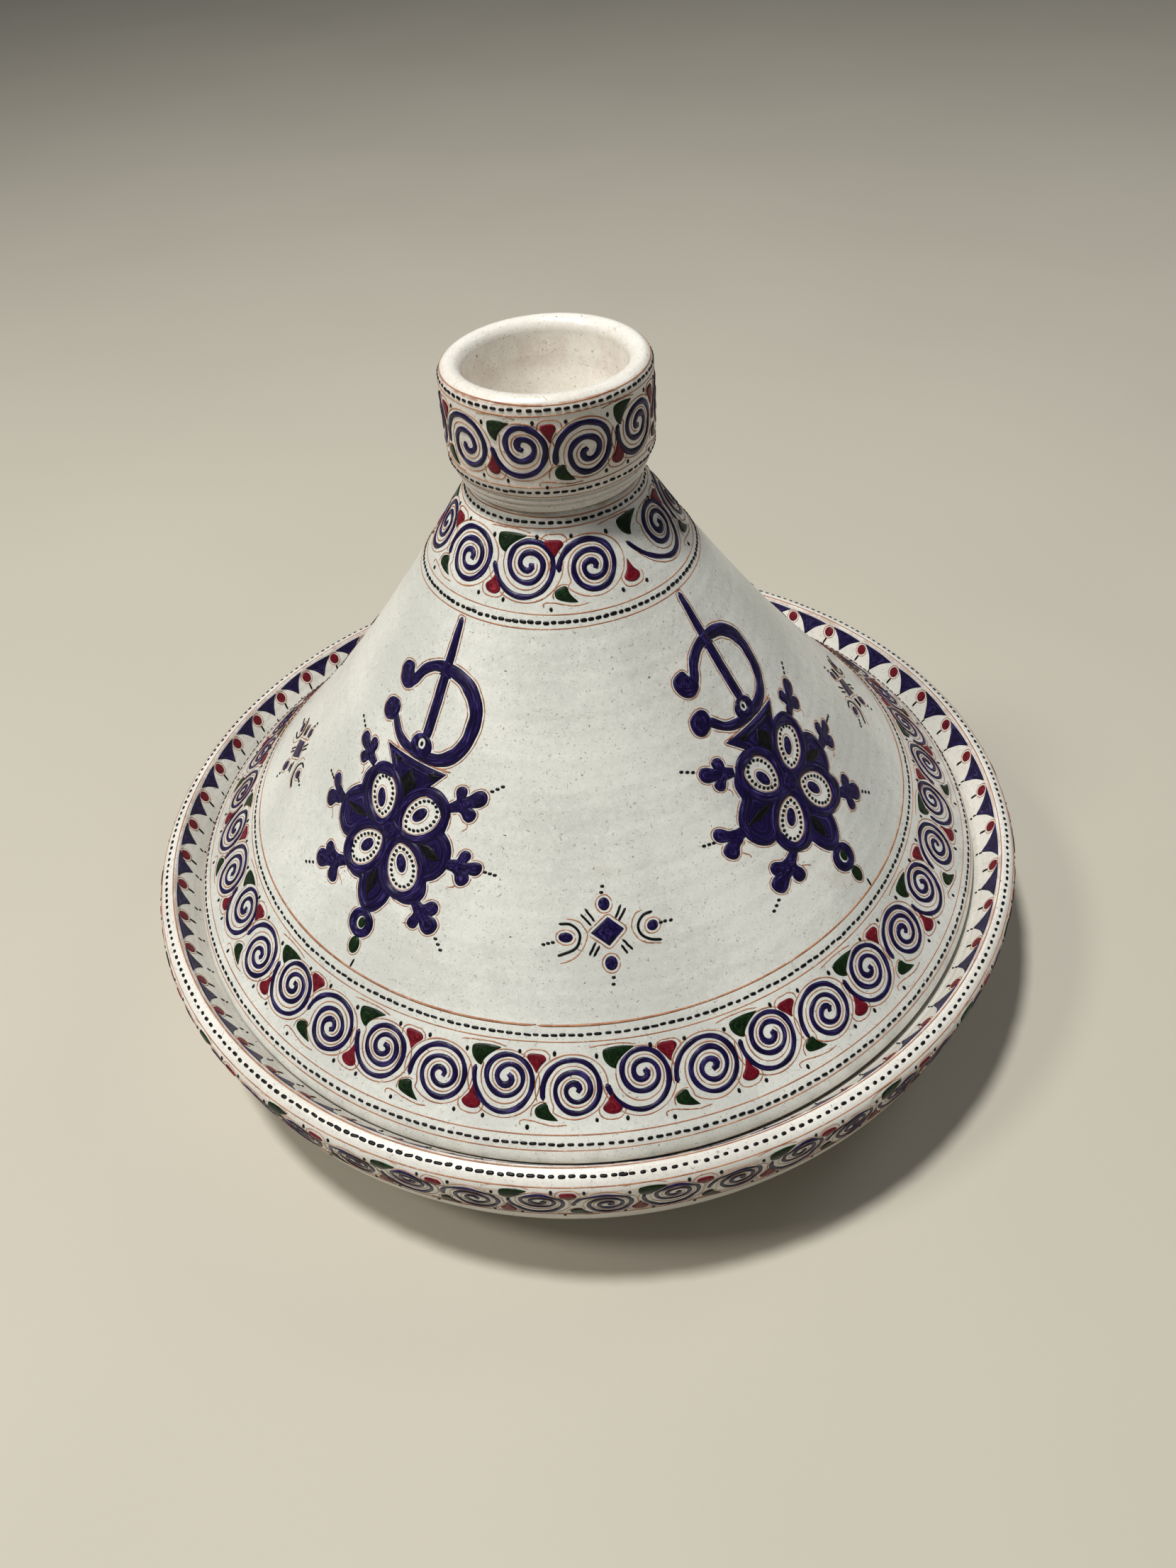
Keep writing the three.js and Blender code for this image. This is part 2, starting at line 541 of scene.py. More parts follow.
def enamel(name, dark, body, light, roughness, coat):
    """Thick enamel laid with a brush: streaks run along the stroke, and it pools darker here and there."""
    g = Graph(name, roughness, coat)
    g.shader.inputs["Specular IOR Level"].default_value = 0.18
    brush = g.attribute("brush").outputs["Vector"]
    lanes = g.node("VectorMath", settings={"operation": "MULTIPLY"}, i0=brush, i1=(1.9, 0.16, 1.0))
    streaks = g.noise(lanes, 1.0, 4.0, 0.62)
    pools = g.noise(g.place(), 0.16, 3.0)
    color = g.mix(g.ramp(streaks, 0.34, 0.66), dark, body)
    color = g.mix(g.times(g.ramp(streaks, 0.52, 0.76), g.ramp(pools, 0.3, 0.65)), color, light)
    g.finish(color, streaks, roughness - 0.06, roughness + 0.16)
    g.bump(streaks, strength=0.6, distance_mm=0.28)
    return g.material


def slip(name):
    """A thin trailed line of slip, rubbed back to the clay, with glaze caught on it in places."""
    rubbed, thick, milky, burnt = rgb(152, 94, 62), rgb(182, 130, 96), rgb(205, 188, 168), rgb(112, 72, 56)
    g = Graph(name, roughness=0.5)
    place = g.place()
    color = g.mix(g.ramp(g.noise(place, 0.12, 3.0), 0.35, 0.65), rubbed, thick)
    glazed = g.ramp(g.noise(place, 0.45, 4.0, 0.6), 0.56, 0.72)
    color = g.mix(g.times(glazed, 0.75), color, milky)
    color = g.mix(g.ramp(g.noise(place, 1.6, 2.0), 0.6, 0.78), color, burnt)
    g.finish(color, glazed, 0.62, 0.35)
    g.bump(g.noise(place, 1.2, 3.0), strength=0.4, distance_mm=0.15)
    return g.material


# ---- The clay bodies ----

lid = Turned([
    [(0, neck_level)],
    bezier((neck_radius, neck_level), (95, rim_level + 43), (lid_radius - 2.3, rim_level - 2.9)),
    spline(offset(lid_radius, rim_level, [
        (-2.0, -3.3), (-0.6, -5.6), (0, -8.2), (-0.7, -10.8), (-2.3, -13.2)])
           + [(lid_radius - 4.2, lid_base)], 0.3),
    [(lid_radius - 8.4, lid_base), (lid_radius - 9.6, lid_base + 1.2)],
    bezier((lid_radius - 11.1, rim_level - 5.9), (88.8, rim_level + 38),
           (neck_radius - 6.7, neck_level - 4.4)),
    [(0, neck_level - 3.4)],
], rings=0.03, oval=0.25)

knob = Turned([
    [(0, neck_level + 8), (15.5, neck_level + 8.4)],
    spline(offset(0, neck_level, [(16, 8.5), (20.8, 11.2), (23.6, 20)])
           + offset(0, knob_top, [(24.6, -8), (24.9, -5)]), 0.3),
    arc(knob_radius - 3.8, knob_top - 4.2, 3.7, 4.2, 172, 90),
    arc(knob_radius - 3.8, knob_top - 4.2, 3.6, 4.2, 88, 20),
    spline(offset(knob_radius, knob_top, [(-0.3, -3.4), (-0.1, -8), (0, -15)])
           + offset(knob_radius, neck_level, [
               (-0.1, 11.5), (-0.5, 8.8), (-1.3, 7.2), (-2.1, 6.6), (-1.6, 5.9), (-1.9, 4.9), (-3.0, 4.3),
               (-2.6, 3.6), (-3.0, 2.5), (-4.3, 1.9), (-4.2, 1.1), (-5.6, 0)]), 0.25),
    [(0, neck_level)],
], rings=0.03, oval=0.12)

BOWL_DEPTH = 33.5  # from the ledge down to the floor of the dish
BOWL_FLOOR = 105  # radius where that floor starts to turn up
FOOT = 112  # radius of the foot ring
FOOT_HEIGHT = 3
dish = Turned([
    [(0, seat_level - BOWL_DEPTH)],
    arc(BOWL_FLOOR, seat_level - 3, 37, BOWL_DEPTH - 3, -90, -3),
    offset(BOWL_FLOOR, seat_level, [(37.2, -1.2), (38, 0)]) + [(rim_radius - 15.4, seat_level)],
    spline(offset(rim_radius, seat_level, [(-14.4, 0.4), (-13.4, 1.6)])
           + offset(rim_radius, rim_level, [
               (-9, -6.2), (-5.9, -0.4), (-5.3, 1.1), (-4.6, 2.3), (-3.6, 2.6), (-2.2, 2.3), (-0.7, 1.6),
               (0.7, 0.3), (1.6, -1.6), (1.75, -4), (1.0, -7), (-0.3, -13.5)]), 0.25),
    arc(rim_radius - 40.5, rim_level - 13.5, 39.5, 39.5, -10, -70),
    spline(offset(FOOT, 0, [(2.3, 3.4), (0.8, 1.8), (-0.4, 0.4), (-2.2, 0)]), 0.25),
    offset(FOOT, 0, [(-10, 0), (-11.6, 0.6), (-12.6, 2.4), (-14, FOOT_HEIGHT)]),
    [(0, FOOT_HEIGHT)],
], rings=0.05, oval=0.3)
CHIPS = ((72, 1.44), (78, 0.96))  # knocks on the rim: azimuth and radius
CHIP_DEPTH = 0.5
chip_at = dish.where(rim_radius + 1.2, rim_level - 1.4)
dish.dents = [(math.radians(azimuth), chip_at, radius, CHIP_DEPTH) for azimuth, radius in CHIPS]

lid_skin = Skin(lid, (neck_radius, neck_level))
knob_skin = Skin(knob, (knob_radius - 1.4, knob_top - 0.4))
wall_skin = Skin(dish, (rim_radius, rim_level))
collar_skin = Skin(dish, (rim_radius - 5.0, rim_level + 1.8), direction=-1)

lid_glaze = glaze("lid_glaze", rgb(228, 228, 221), rgb(206, 207, 201),
                  [(lid.where(lid_radius, rim_level - 9.5), 1.6, 0.4),
                   (lid.where(neck_radius, neck_level), 1.2, 0.5)])
knob_glaze = glaze("knob_glaze", rgb(234, 230, 222), rgb(218, 212, 203),
                   [(knob.where(knob_radius - 0.6, knob_top - 1.6), 0.8, 0.8),
                    (knob.where(24.4, knob_top - 10), 9, 0.2)])
dish_glaze = glaze("dish_glaze", rgb(234, 231, 224), rgb(218, 214, 206),
                   [(dish.where(rim_radius + 1.5, rim_level - 2), 0.8, 0.55), (dish.where(FOOT, 1), 3.0, 0.9),
                    (dish.where(rim_radius - 4.7, rim_level + 2.3), 1.3, 0.5)])
CLAY = [  # name, surface, body, CAD node, slot, material, points in each ring, steps between the rings
    ("lid_shell", lid, "lid", "lid_cone", "lid_glaze", lid_glaze, 360,
     [(lid.where(neck_radius, neck_level), 3), (lid.where(lid_radius - 3, rim_level - 2), 1.05),
      (lid.where(lid_radius - 10, lid_base + 1), 0.7), (lid.along[-1] - 25, 4), (lid.along[-1], 5)]),
    ("knob_cup", knob, "lid", "lid_knob_cup", "knob_glaze", knob_glaze, 240,
     [(15, 3), (knob.where(25, knob_top - 5), 0.9), (knob.where(knob_radius - 6, neck_level), 0.42),
      (knob.along[-1], 4)]),
    ("dish_body", dish, "dish", "base_dish", "dish_glaze", dish_glaze, 400,
     [(dish.where(142, seat_level), 3), (dish.where(rim_radius - 6, rim_level - 1), 0.8),
      (dish.where(rim_radius + 1, rim_level - 7), 0.45), (dish.where(150, 20), 0.9),
      (dish.where(FOOT + 4, 5), 2), (dish.where(FOOT - 14, FOOT_HEIGHT), 0.7), (dish.along[-1], 6)]),
]
for name, surface, body, node, slot, look, segments, steps in CLAY:
    shell = finished(name, surface.body(name, steps, segments), body, slot, look)
    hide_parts(node)


# ---- Paint ----

ENAMELS = {  # dark, body and light colour, roughness, coat
    "indigo": (rgb(12, 6, 34), rgb(30, 18, 72), rgb(88, 78, 140), 0.3, 0.04),
    "green": (rgb(8, 20, 7), rgb(15, 42, 13), rgb(40, 68, 28), 0.3, 0.04),
    "crimson": (rgb(76, 8, 20), rgb(122, 17, 34), rgb(156, 48, 60), 0.34, 0.04),
    "black": (rgb(5, 4, 6), rgb(10, 9, 12), rgb(28, 24, 28), 0.34, 0.05),
}
paints = {color: (f"{color}_enamel", enamel(f"{color}_enamel", *look)) for color, look in ENAMELS.items()}
paints["brown"] = ("terracotta_line", slip("terracotta_line"))
HEIGHT = {"indigo": 0.34, "green": 0.34, "crimson": 0.34, "black": 0.3, "brown": 0.14}  # above the glaze
LINE = 0.47  # width of a trailed brown line


def coats(skin, body, place):
    """The layers of paint on one part of one skin, one for each colour."""
    return {color: Layer(f"{place}_{color}", skin, body, slot, paint)
            for color, (slot, paint) in paints.items()}


def trail(line, width=LINE):
    """A trailed brown line."""
    return stroke(hand(line, 0.06), uneven(len(line), width, 0.25), HEIGHT["brown"], fine=False)


def dash(length, width):
    """A short level stroke of black."""
    return stroke(np.linspace((-length / 2, 0), (length / 2, 0), 9), width, HEIGHT["black"])


def girdle(layers, down, width=LINE):
    """A trailed line all the way round."""
    radius = layers["brown"].skin.radius(down)
    overlap, step, sway = 2, 1.3, 0.12
    way = np.arange(0, 2 * math.pi * radius + overlap, step)
    drift = sum(sway * np.sin(k * way / radius + rng.uniform(0, ANY_PHASE)) for k in (1, 2, 3, 5))
    line = np.column_stack([way, drift])
    shape = stroke(line, uneven(len(line), width, 0.12), HEIGHT["brown"], fine=False)
    layers["brown"].add(shape, rng.uniform(0, 360), down)


LONGEST_AT, LONGER_OVER = 335, 24  # azimuth where dashes are longest, and how far off it they stay long


def dashes(layers, down, pitch, length, width, longer_left=0.0):
    """Black dashes all the way round, each a little different, and longer left of the front where asked."""
    azimuth = rng.uniform(0, pitch)
    for _ in range(round(360 / pitch)):
        off = (azimuth - LONGEST_AT) / LONGER_OVER
        long = length * rng.uniform(0.8, 1.12) * (1 + longer_left * math.exp(-off * off))
        shape = dash(long, width * rng.uniform(0.85, 1.15))
        layers["black"].add(shape, azimuth, down + rng.normal(0, 0.08), rng.normal(0, 0.07))
        azimuth += pitch * rng.uniform(0.93, 1.07)


def dot(layers, azimuth, down, u, v, size):
    """A black dot at (u, v) from a place on the pot."""
    across, tall = size * rng.uniform(0.58, 0.7), size * rng.uniform(0.72, 0.95)
    shape = patch(ellipse((0, 0), across, tall, 0.35), HEIGHT["black"], shoulder=0.35, pitch=0.6)
    layers["black"].add(moved(shape, u, v), azimuth, down)


def moved(shape, u, v):
    """The shape with its middle at (u, v)."""
    return shape._replace(points=shape.points + (u, v, 0))


def fill(layers, color, points, azimuth, down, scale, grow=(1, 1)):
    """A filled shape. It grows from the middle of its outer edge, the one furthest from the band's middle."""
    points = np.array(points)
    edge = (points[:, 0].mean(), points[np.argmax(abs(points[:, 1])), 1])
    loose = (edge + (points - edge) * grow) * scale * rng.uniform(0.95, 1.05, 2) + rng.normal(0, 0.12, 2)
    outline = spline(loose, 0.55, closed=True)
    layers[color].add(patch(outline, HEIGHT[color]), azimuth, down, rng.normal(0, 0.03))


# One repeat of the running spirals, in millimetres for spirals of the radius they are drawn for. A spiral
# that opens upper left is followed by one that opens lower left. Each gap's shapes are measured from its
# middle.
DRAWN_FOR = 9.4
TURNS = 2.9
GREEN_FAN = [(-0.3, -9.6), (0.4, -11.2), (4.9, -11.7), (9.3, -11.2), (9.3, -11.2), (6.3, -9.5), (4.1, -7.5),
             (3.3, -5.6), (3.3, -5.6), (1.7, -6.3), (0.3, -7.8)]
RED_DROP = [(0.9, 1.9), (0.9, 1.9), (2.0, 5.2), (3.5, 7.4), (2.8, 8.8), (0.8, 9.3), (-1.3, 8.7), (-2.2, 7.2),
            (-0.3, 5.0)]
RED_FAN = [(-3.6, -9.2), (-3.0, -10.4), (-0.8, -10.6), (1.5, -10.3), (2.4, -9.0), (0.9, -7.2), (-0.5, -5.0),
           (-0.5, -5.0), (-1.8, -6.9)]
GREEN_FIN = [(-0.7, 8.3), (-0.1, 7.0), (1.9, 6.0), (3.3, 6.3), (4.2, 8.3), (6.9, 10.9), (6.9, 10.9),
             (3.7, 10.7), (0.2, 9.8)]
OPENING_LINES = [
    [(-5.2, -12.4), (-1.5, -12.9), (2.5, -13.1), (6.5, -12.9), (10.0, -12.1)],
    [(-3.4, 6.0), (-3.6, 8.2), (-2.4, 10.1), (0.8, 10.7), (3.6, 10.1), (4.9, 8.0), (4.5, 6.4)],
]
CLOSING_LINES = [
    [(-4.8, -8.0), (-4.6, -10.4), (-2.8, -11.7), (-0.6, -11.8), (1.9, -11.6), (3.6, -10.2), (3.7, -8.6)],
    [(-5.2, 12.4), (-5.4, 11.2), (-4.2, 10.6), (-1.6, 10.8), (2.0, 11.6), (6.0, 12.2), (10.0, 11.9)],
    [(-1.8, 9.6), (-1.8, 7.6), (-0.8, 5.9), (1.5, 4.8), (3.4, 5.0)],
]
OPENING_DOTS = [(-3.0, -9.6), (-4.6, 10.6), (5.3, 10.8)]
CLOSING_DOTS = [(-6.1, -11.0), (5.2, -10.7), (-2.9, 12.9)]

# How a spiral runs, in turns from its open end
FULL_UNTIL = 0.45  # from here on its radius shrinks
HEART = 0.08  # this far past its inner end its radius would be nothing
FLARED_UNTIL = 0.16  # up to here its open end bends outwards
INNER_STOP = 0.12  # this far before its inner end the brown line stops
SETTLED = 1.1  # from here on it turns about a middle that lies off the first one
# The same, in shares of its radius
FLARE = 0.19  # how far its open end bends outwards
ASIDE = 0.12  # how far the second middle lies to the right
OUTSIDE = 1.37  # how far above and below its middle it runs on outside itself
OPENS_AT = -54  # degrees from straight up to its open end


def spiral_line(turn, turns, radius, room, drift, flare, begin=0.0):
    """A spiral that opens upper left and winds in anticlockwise. Before its first turn it runs on outside
    itself, so that a line drawn halfway between its turns goes round the whole and fills its room. Begin is
    the share of a turn left out at its open end."""
    outside = turn < 0
    t = np.where(outside, turn + 1, turn)
    held = np.minimum(1, (turns + HEART - t) / (turns + HEART - FULL_UNTIL))
    opening = flare * np.clip(1 - (t - begin) / (FLARED_UNTIL + begin), 0, 1) ** 2
    angle = math.radians(OPENS_AT) - 2 * math.pi * turn
    moving = np.clip(t / SETTLED, 0, 1)
    shift = moving**2 * (3 - 2 * moving)
    u = (radius * held + opening) * np.sin(angle) + ASIDE * radius * shift
    v = -(radius * held + opening) * np.cos(angle) + drift * radius * shift
    u = np.where(outside, (2 * room - radius) * np.sin(angle), u)
    v = np.where(outside, -OUTSIDE * radius * np.cos(angle), v)
    return np.column_stack([u, v])


def spiral(layers, style, azimuth, down, opens_up, extra):
    """One painted spiral, with the trailed line that runs round it and between its turns. Extra is the empty
    space beside it, which its tail reaches across."""
    radius = style["radius"] * rng.uniform(0.94, 1.03)
    turns = style["turns"] + rng.uniform(-0.12, 0.1)
    drift = rng.uniform(-0.3, -0.14) if opens_up else rng.uniform(-0.14, -0.02)
    room = style["room"]
    begin = 0.06 if extra > 1 else rng.uniform(0.02, 0.09)
    t = np.linspace(begin, turns, int(12 * radius))
    flare = FLARE * radius
    blue = spiral_line(t, turns, radius, room, drift, flare + 2 * extra, begin)
    inner = t[t < turns - INNER_STOP]
    between = (blue[: len(inner)] + spiral_line(inner - 1, turns, radius, room, drift, flare)) / 2
    if not opens_up:
        blue, between = blue * (1, -1), between * (1, -1)
    width = uneven(len(t), style["brush"], 0.14) * np.interp(t, [turns - 0.3, turns - 0.05], [1, 1.25])
    lean = rng.normal(0, 0.07)
    blue = hand(blue, 0.13)
    blue = points_at(blue, np.linspace(0, lengths(blue)[-1], len(width)))
    layers["indigo"].add(stroke(blue, width, HEIGHT["indigo"]), azimuth, down, lean)
    layers["brown"].add(trail(resample(between, 0.8), style["line"]), azimuth, down, lean)


SLACK = 0.4  # how much wider a gap is before a tail reaches across it, as a share of half the usual gap
FAN_SHARE = 0.4  # how far the green fan moves along in a wider gap, as a share of the extra width


def running_spirals(layers, down, pairs, radius, brush, turns=TURNS, line=LINE, grow=(1.08, 1.15)):
    """A band of spirals. Pairs holds the azimuths of each two: the one that opens up and the one after it."""
    scale = radius / DRAWN_FOR
    half = 90 / len(pairs)
    per_degree = layers["brown"].skin.radius(down) * math.pi / 180
    style = {"radius": radius, "room": half * per_degree, "brush": brush, "turns": turns, "line": line}
    for i, (first, second) in enumerate(pairs):
        before = pairs[i - 1][1] - (360 if i == 0 else 0)
        opening, closing = before + half, (first + second) / 2
        stretch = first - before - 2 * half
        spiral(layers, style, first, down, True, max(0, stretch - SLACK * half) * per_degree)
        spiral(layers, style, second, down, False, 0)
        fill(layers, "green", GREEN_FAN, opening + FAN_SHARE * stretch, down, scale, grow)
        fill(layers, "crimson", RED_DROP, opening, down, scale, grow)
        fill(layers, "crimson", RED_FAN, closing, down, scale, grow)
        fill(layers, "green", GREEN_FIN, closing, down, scale, grow)
        for azimuth, lines, dots in ((opening, OPENING_LINES, OPENING_DOTS),
                                     (closing, CLOSING_LINES, CLOSING_DOTS)):
            for points in lines:
                layers["brown"].add(trail(spline(np.array(points) * scale, 0.7), line), azimuth, down)
            for u, v in dots:
                dot(layers, azimuth, down, u * scale, v * scale, scale)


def spread(count, first, squeeze, turned):
    """Azimuths spread evenly round, then moved by a few degrees so that they lie closer on one side."""
    places = first + np.arange(count) * 360 / count
    return places - squeeze * np.sin(np.radians(places + turned))


def even_pairs(count, first, squeeze=0.0, turned=0.0):
    """Azimuths of pairs of spirals."""
    return [tuple(pair) for pair in spread(2 * count, first, squeeze, turned).reshape(-1, 2)]


# The lid's bands. The levels are distances down its outside from the neck.
FLANGE_PAIRS = 19
FLANGE_FRONT = -13.5  # azimuth of the spiral in front
flange_first = FLANGE_FRONT - 180 / FLANGE_PAIRS * (FLANGE_PAIRS - 1)
flange = coats(lid_skin, "lid", "flange")
flange_pairs = even_pairs(FLANGE_PAIRS, flange_first, squeeze=2.6, turned=-FLANGE_FRONT)
running_spirals(flange, 176.6, flange_pairs, radius=9.1, brush=1.75)
girdle(flange, 157.2, width=0.85)
for level in (162.8, 191.3, 196):
    girdle(flange, level)
dashes(flange, 160.5, pitch=1.28, length=2.3, width=1.0)
dashes(flange, 194, pitch=1.15, length=2.25, width=1.0)

NECK_PAIRS = [(-85, -51), (-18, 13), (60, 94), (130, 166), (202, 238)]
neck = coats(lid_skin, "lid", "neck")
running_spirals(neck, 17.0, NECK_PAIRS, radius=8.5, brush=1.8, turns=2.75)
for level in (1.3, 4.7, 30.2, 34.7):
    girdle(neck, level)
dashes(neck, 3.0, pitch=5.2, length=2.0, width=1.0)
dashes(neck, 32.6, pitch=3.0, length=2.1, width=1.15)

# The knob, down from its rim
cup = coats(knob_skin, "lid", "cup")
running_spirals(cup, 15.2, even_pairs(5, -90, squeeze=4.4), radius=7.8, brush=1.85, turns=2.35,
                line=0.45, grow=(0.95, 1.3))
for level in (1.1, 4.2, 25.7, 29.7):
    girdle(cup, level)
dashes(cup, 2.5, pitch=4.7, length=2.0, width=0.95)
dashes(cup, 27.7, pitch=4.5, length=2.0, width=0.95)

# The dish's outer wall and the top of its rim, down and up from the line round the rim
wall = coats(wall_skin, "dish", "wall")
running_spirals(wall, 11.8, even_pairs(25, 6), radius=8.3, brush=1.5, line=0.22)
for level in (0.2, 22.5):
    girdle(wall, level)
rim = coats(wall_skin, "dish", "rim")
dashes(rim, -2.7, pitch=1.12, length=1.85, width=1.15, longer_left=0.5)
girdle(rim, -5.4)


# ---- The collar inside the rim ----

# Indigo triangles, each with a dot and a tick below it, and between them a crimson oval in a ring over a tick
collar = coats(collar_skin, "dish", "collar")
TRIANGLE = [(-7.9, 0.2), (-7.9, 0.2), (0, 0), (7.9, 0.2), (7.9, 0.2), (3.6, 3.6), (0.4, 8.6), (0.4, 8.6),
            (-3.2, 3.8)]
TRIANGLES = 54
CROWDING = 5.7  # degrees by which they are moved, so that they lie closer and smaller on the left
COLLAR_DOWN = 0.5
OVAL = (0, 3.3)
for even in spread(TRIANGLES, 180 / TRIANGLES, CROWDING, 90):
    azimuth = even + rng.normal(0, 0.12)
    between = azimuth + 180 / TRIANGLES
    size = 1 + math.radians(CROWDING) * math.sin(math.radians(azimuth))
    fill(collar, "indigo", TRIANGLE, azimuth, COLLAR_DOWN, size)
    dot(collar, azimuth, COLLAR_DOWN, 0.8, 12.1, 0.7)
    collar["crimson"].add(patch(ellipse(OVAL, 2.2, 2.3), HEIGHT["crimson"]), between, COLLAR_DOWN)
    collar["brown"].add(trail(looped(ellipse(OVAL, 2.9, 3.0, 0.7)), 0.4), between, COLLAR_DOWN)
    for place, low, high, width in ((between, 6.2, 9.4, 0.95), (azimuth, 9.3, 11.1, 0.7)):
        tick = np.linspace((0.2, low), (0.9, high), 6)
        collar["black"].add(stroke(tick, width, HEIGHT["black"]), place + rng.normal(0, 0.1), COLLAR_DOWN)


# ---- The four pendants on the cone: a ringed pin over a four-petalled flower ----

PENDANTS = (-42, 50.5, 139, -132)  # azimuths
PENDANT_DOWN = 36
BOSS = (-1.9, 73.3)
OUTLINE_GAP = 0.55  # from the edge of the paint to the middle of the line round it
KEPT_OWN, KEPT_OTHER = 0.93, 0.9  # how much of its gap a line keeps to its own outline and to others
SHORTEST = 5  # points in the shortest stretch of line that is drawn
POINTED, FULL = 0.22, 1.03  # how much a petal narrows towards the boss, and how full it is for that
PETALS = [  # middle, the way out from the boss, length, width, the middle of the core
    ((-10.4, 64.6), (-0.38, -0.92), 15, 12.2, (-10.8, 65.6)),
    ((7.1, 64.6), (0.64, -0.77), 16, 12.2, (6.5, 64.2)),
    ((-10.3, 83.0), (-0.64, 0.77), 16.2, 11.2, (-9.9, 82.2)),
    ((6.8, 82.5), (0.52, 0.85), 16, 12.2, (6.0, 81.4)),
]
FLOWER = [
    (-16, 48.5), (-16, 48.5), (-2, 48.4), (11.3, 48.5), (11.3, 48.5), (6.3, 54.9), (6.3, 54.9), (10, 55.3),
    (14.5, 57.8), (17.3, 62), (17.4, 66.5), (17.4, 66.5), (20.4, 69), (22.3, 73), (22.2, 78), (20, 81.8),
    (17.2, 83.6), (17.2, 83.6), (18.4, 87.8), (16.5, 91.6), (12, 93.4), (6.4, 92.8), (6.4, 92.8), (5.4, 96.5),
    (2.6, 100.4), (-1, 102), (-4.4, 100.6), (-7, 97), (-8.2, 93.6), (-8.2, 93.6), (-12, 94), (-16, 92),
    (-18.6, 88.4), (-19.2, 84.7), (-19.2, 84.7), (-23, 85), (-27, 82.6), (-29, 78.5), (-28.7, 74), (-26, 70),
    (-22.2, 66.8), (-22.2, 66.8), (-22, 62.3), (-19, 58.4), (-14.5, 56), (-9.8, 55.2), (-9.8, 55.2),
]
RING = [(-15, 27.6), (-12.6, 24.8), (-10, 20.8), (-6.5, 18.1), (-3, 16.9), (0.5, 16.7), (4.5, 17.4),
        (8.4, 19.2), (12, 22.7), (14.3, 27), (14.8, 31.5), (14.3, 36.5), (12.3, 41), (8.8, 44.2), (4, 45.9),
        (-3, 46.1), (-8, 45.6), (-12, 44.2), (-15, 41.6), (-17, 39)]
UPPER_END = [(-21.2, 25.2), (-20.2, 22.6), (-18, 21.4), (-15.4, 21.3), (-14.6, 23.2), (-13.6, 25),
             (-12.6, 27.4), (-14.6, 29.4), (-17.4, 30.1), (-20.2, 28.6)]
LOWER_END = [(-23.8, 39.6), (-22.8, 36.6), (-20.4, 35.1), (-17.4, 34.8), (-15.8, 36.2), (-15.7, 38.8),
             (-17.0, 41.2), (-19, 42.4), (-21.2, 43), (-23.2, 41.9)]
LEAVES = [
    [(-11.6, 49.7), (-11.6, 49.7), (-6.2, 49.7), (-6.2, 49.7), (-8.6, 52)],
    [(4, 49.7), (4, 49.7), (9.6, 49.7), (9.6, 49.7), (6.6, 52.2)],
    [(-2, 51.2), (-2, 51.2), (1.9, 55.8), (0.6, 58), (-1.4, 61.7), (-1.4, 61.7), (-3.6, 58), (-5.3, 56)],
    [(-13, 73.6), (-13, 73.6), (-19, 73.1), (-27, 75.4), (-27, 75.4), (-19, 76.1)],
    [(9.4, 72.4), (9.4, 72.4), (14.5, 72.2), (20, 75.8), (20, 75.8), (14, 76.3)],
    [(-2.5, 86.4), (-2.5, 86.4), (-0.4, 91.5), (-2.5, 97.2), (-2.5, 97.2), (-4.7, 91.5)],
]
TREFOILS = [  # stem foot, the three lobes as (u, v, radius), the curled tail, the outer marks
    ((-19, 58), [(-28, 54.5, 2.7), (-22.7, 53.2, 2.2), (-26, 59.3, 2.0)], [(-25, 61), (-24.4, 64.6)],
     [(-35, 50), (-33.3, 50.8), (-31.7, 51.6)]),
    ((-27.5, 76), [(-36, 74, 2.5), (-36, 80, 2.7), (-33, 77, 1.9)], [(-33.5, 82), (-31.5, 85.2)],
     [(-43, 74.6), (-41.2, 74.8), (-39.6, 75)]),
    ((-16.5, 91.5), [(-26, 93, 2.5), (-28.5, 97.6, 3.0), (-20.5, 98.6, 2.6)], [(-17.8, 97), (-14.5, 99.5)],
     [(-32.5, 101.8), (-34.4, 102.9), (-36.3, 104)]),
    ((16, 58.5), [(18.4, 52.6, 2.0), (24.5, 53.3, 2.8), (23.2, 58.8, 2.3)], [(23.5, 61.2), (22.8, 64.5)],
     [(28, 49.9), (29.4, 48.9), (30.8, 47.9)]),
    ((21, 76), [(26.8, 72.2, 2.0), (31.3, 75.2, 2.3), (28.3, 79, 2.4)], [(27, 81.4), (24.5, 83)],
     [(35, 75.5), (36.7, 75.7), (38.4, 75.9)]),
    ((15.5, 91), [(22, 91.5, 2.5), (23.3, 96.7, 3.0), (17.8, 97.5, 2.1)], [(16.3, 97.5), (14.2, 99.2)],
     [(27.5, 100.2), (29, 101.7), (30.5, 103.2)]),
]


def teardrop(centre, out, length, width):
    """A petal's outline, narrower towards the boss."""
    along = -length / 2 * np.cos(ROUND)
    across = width / 2 * np.sin(ROUND) * np.sin(ROUND / 2) ** POINTED * FULL
    return resample(centre + np.outer(along, out) + np.outer(across, (-out[1], out[0])), 0.5, closed=True)


def inset(outline, gap):
    """The outline moved inwards by a gap, or outwards where the gap is below zero."""
    middle = outline.mean(0)
    out = sideways(outline, closed=True)
    away = np.sign(((outline - middle) * out).sum(1).mean())
    return outline - away * gap * out


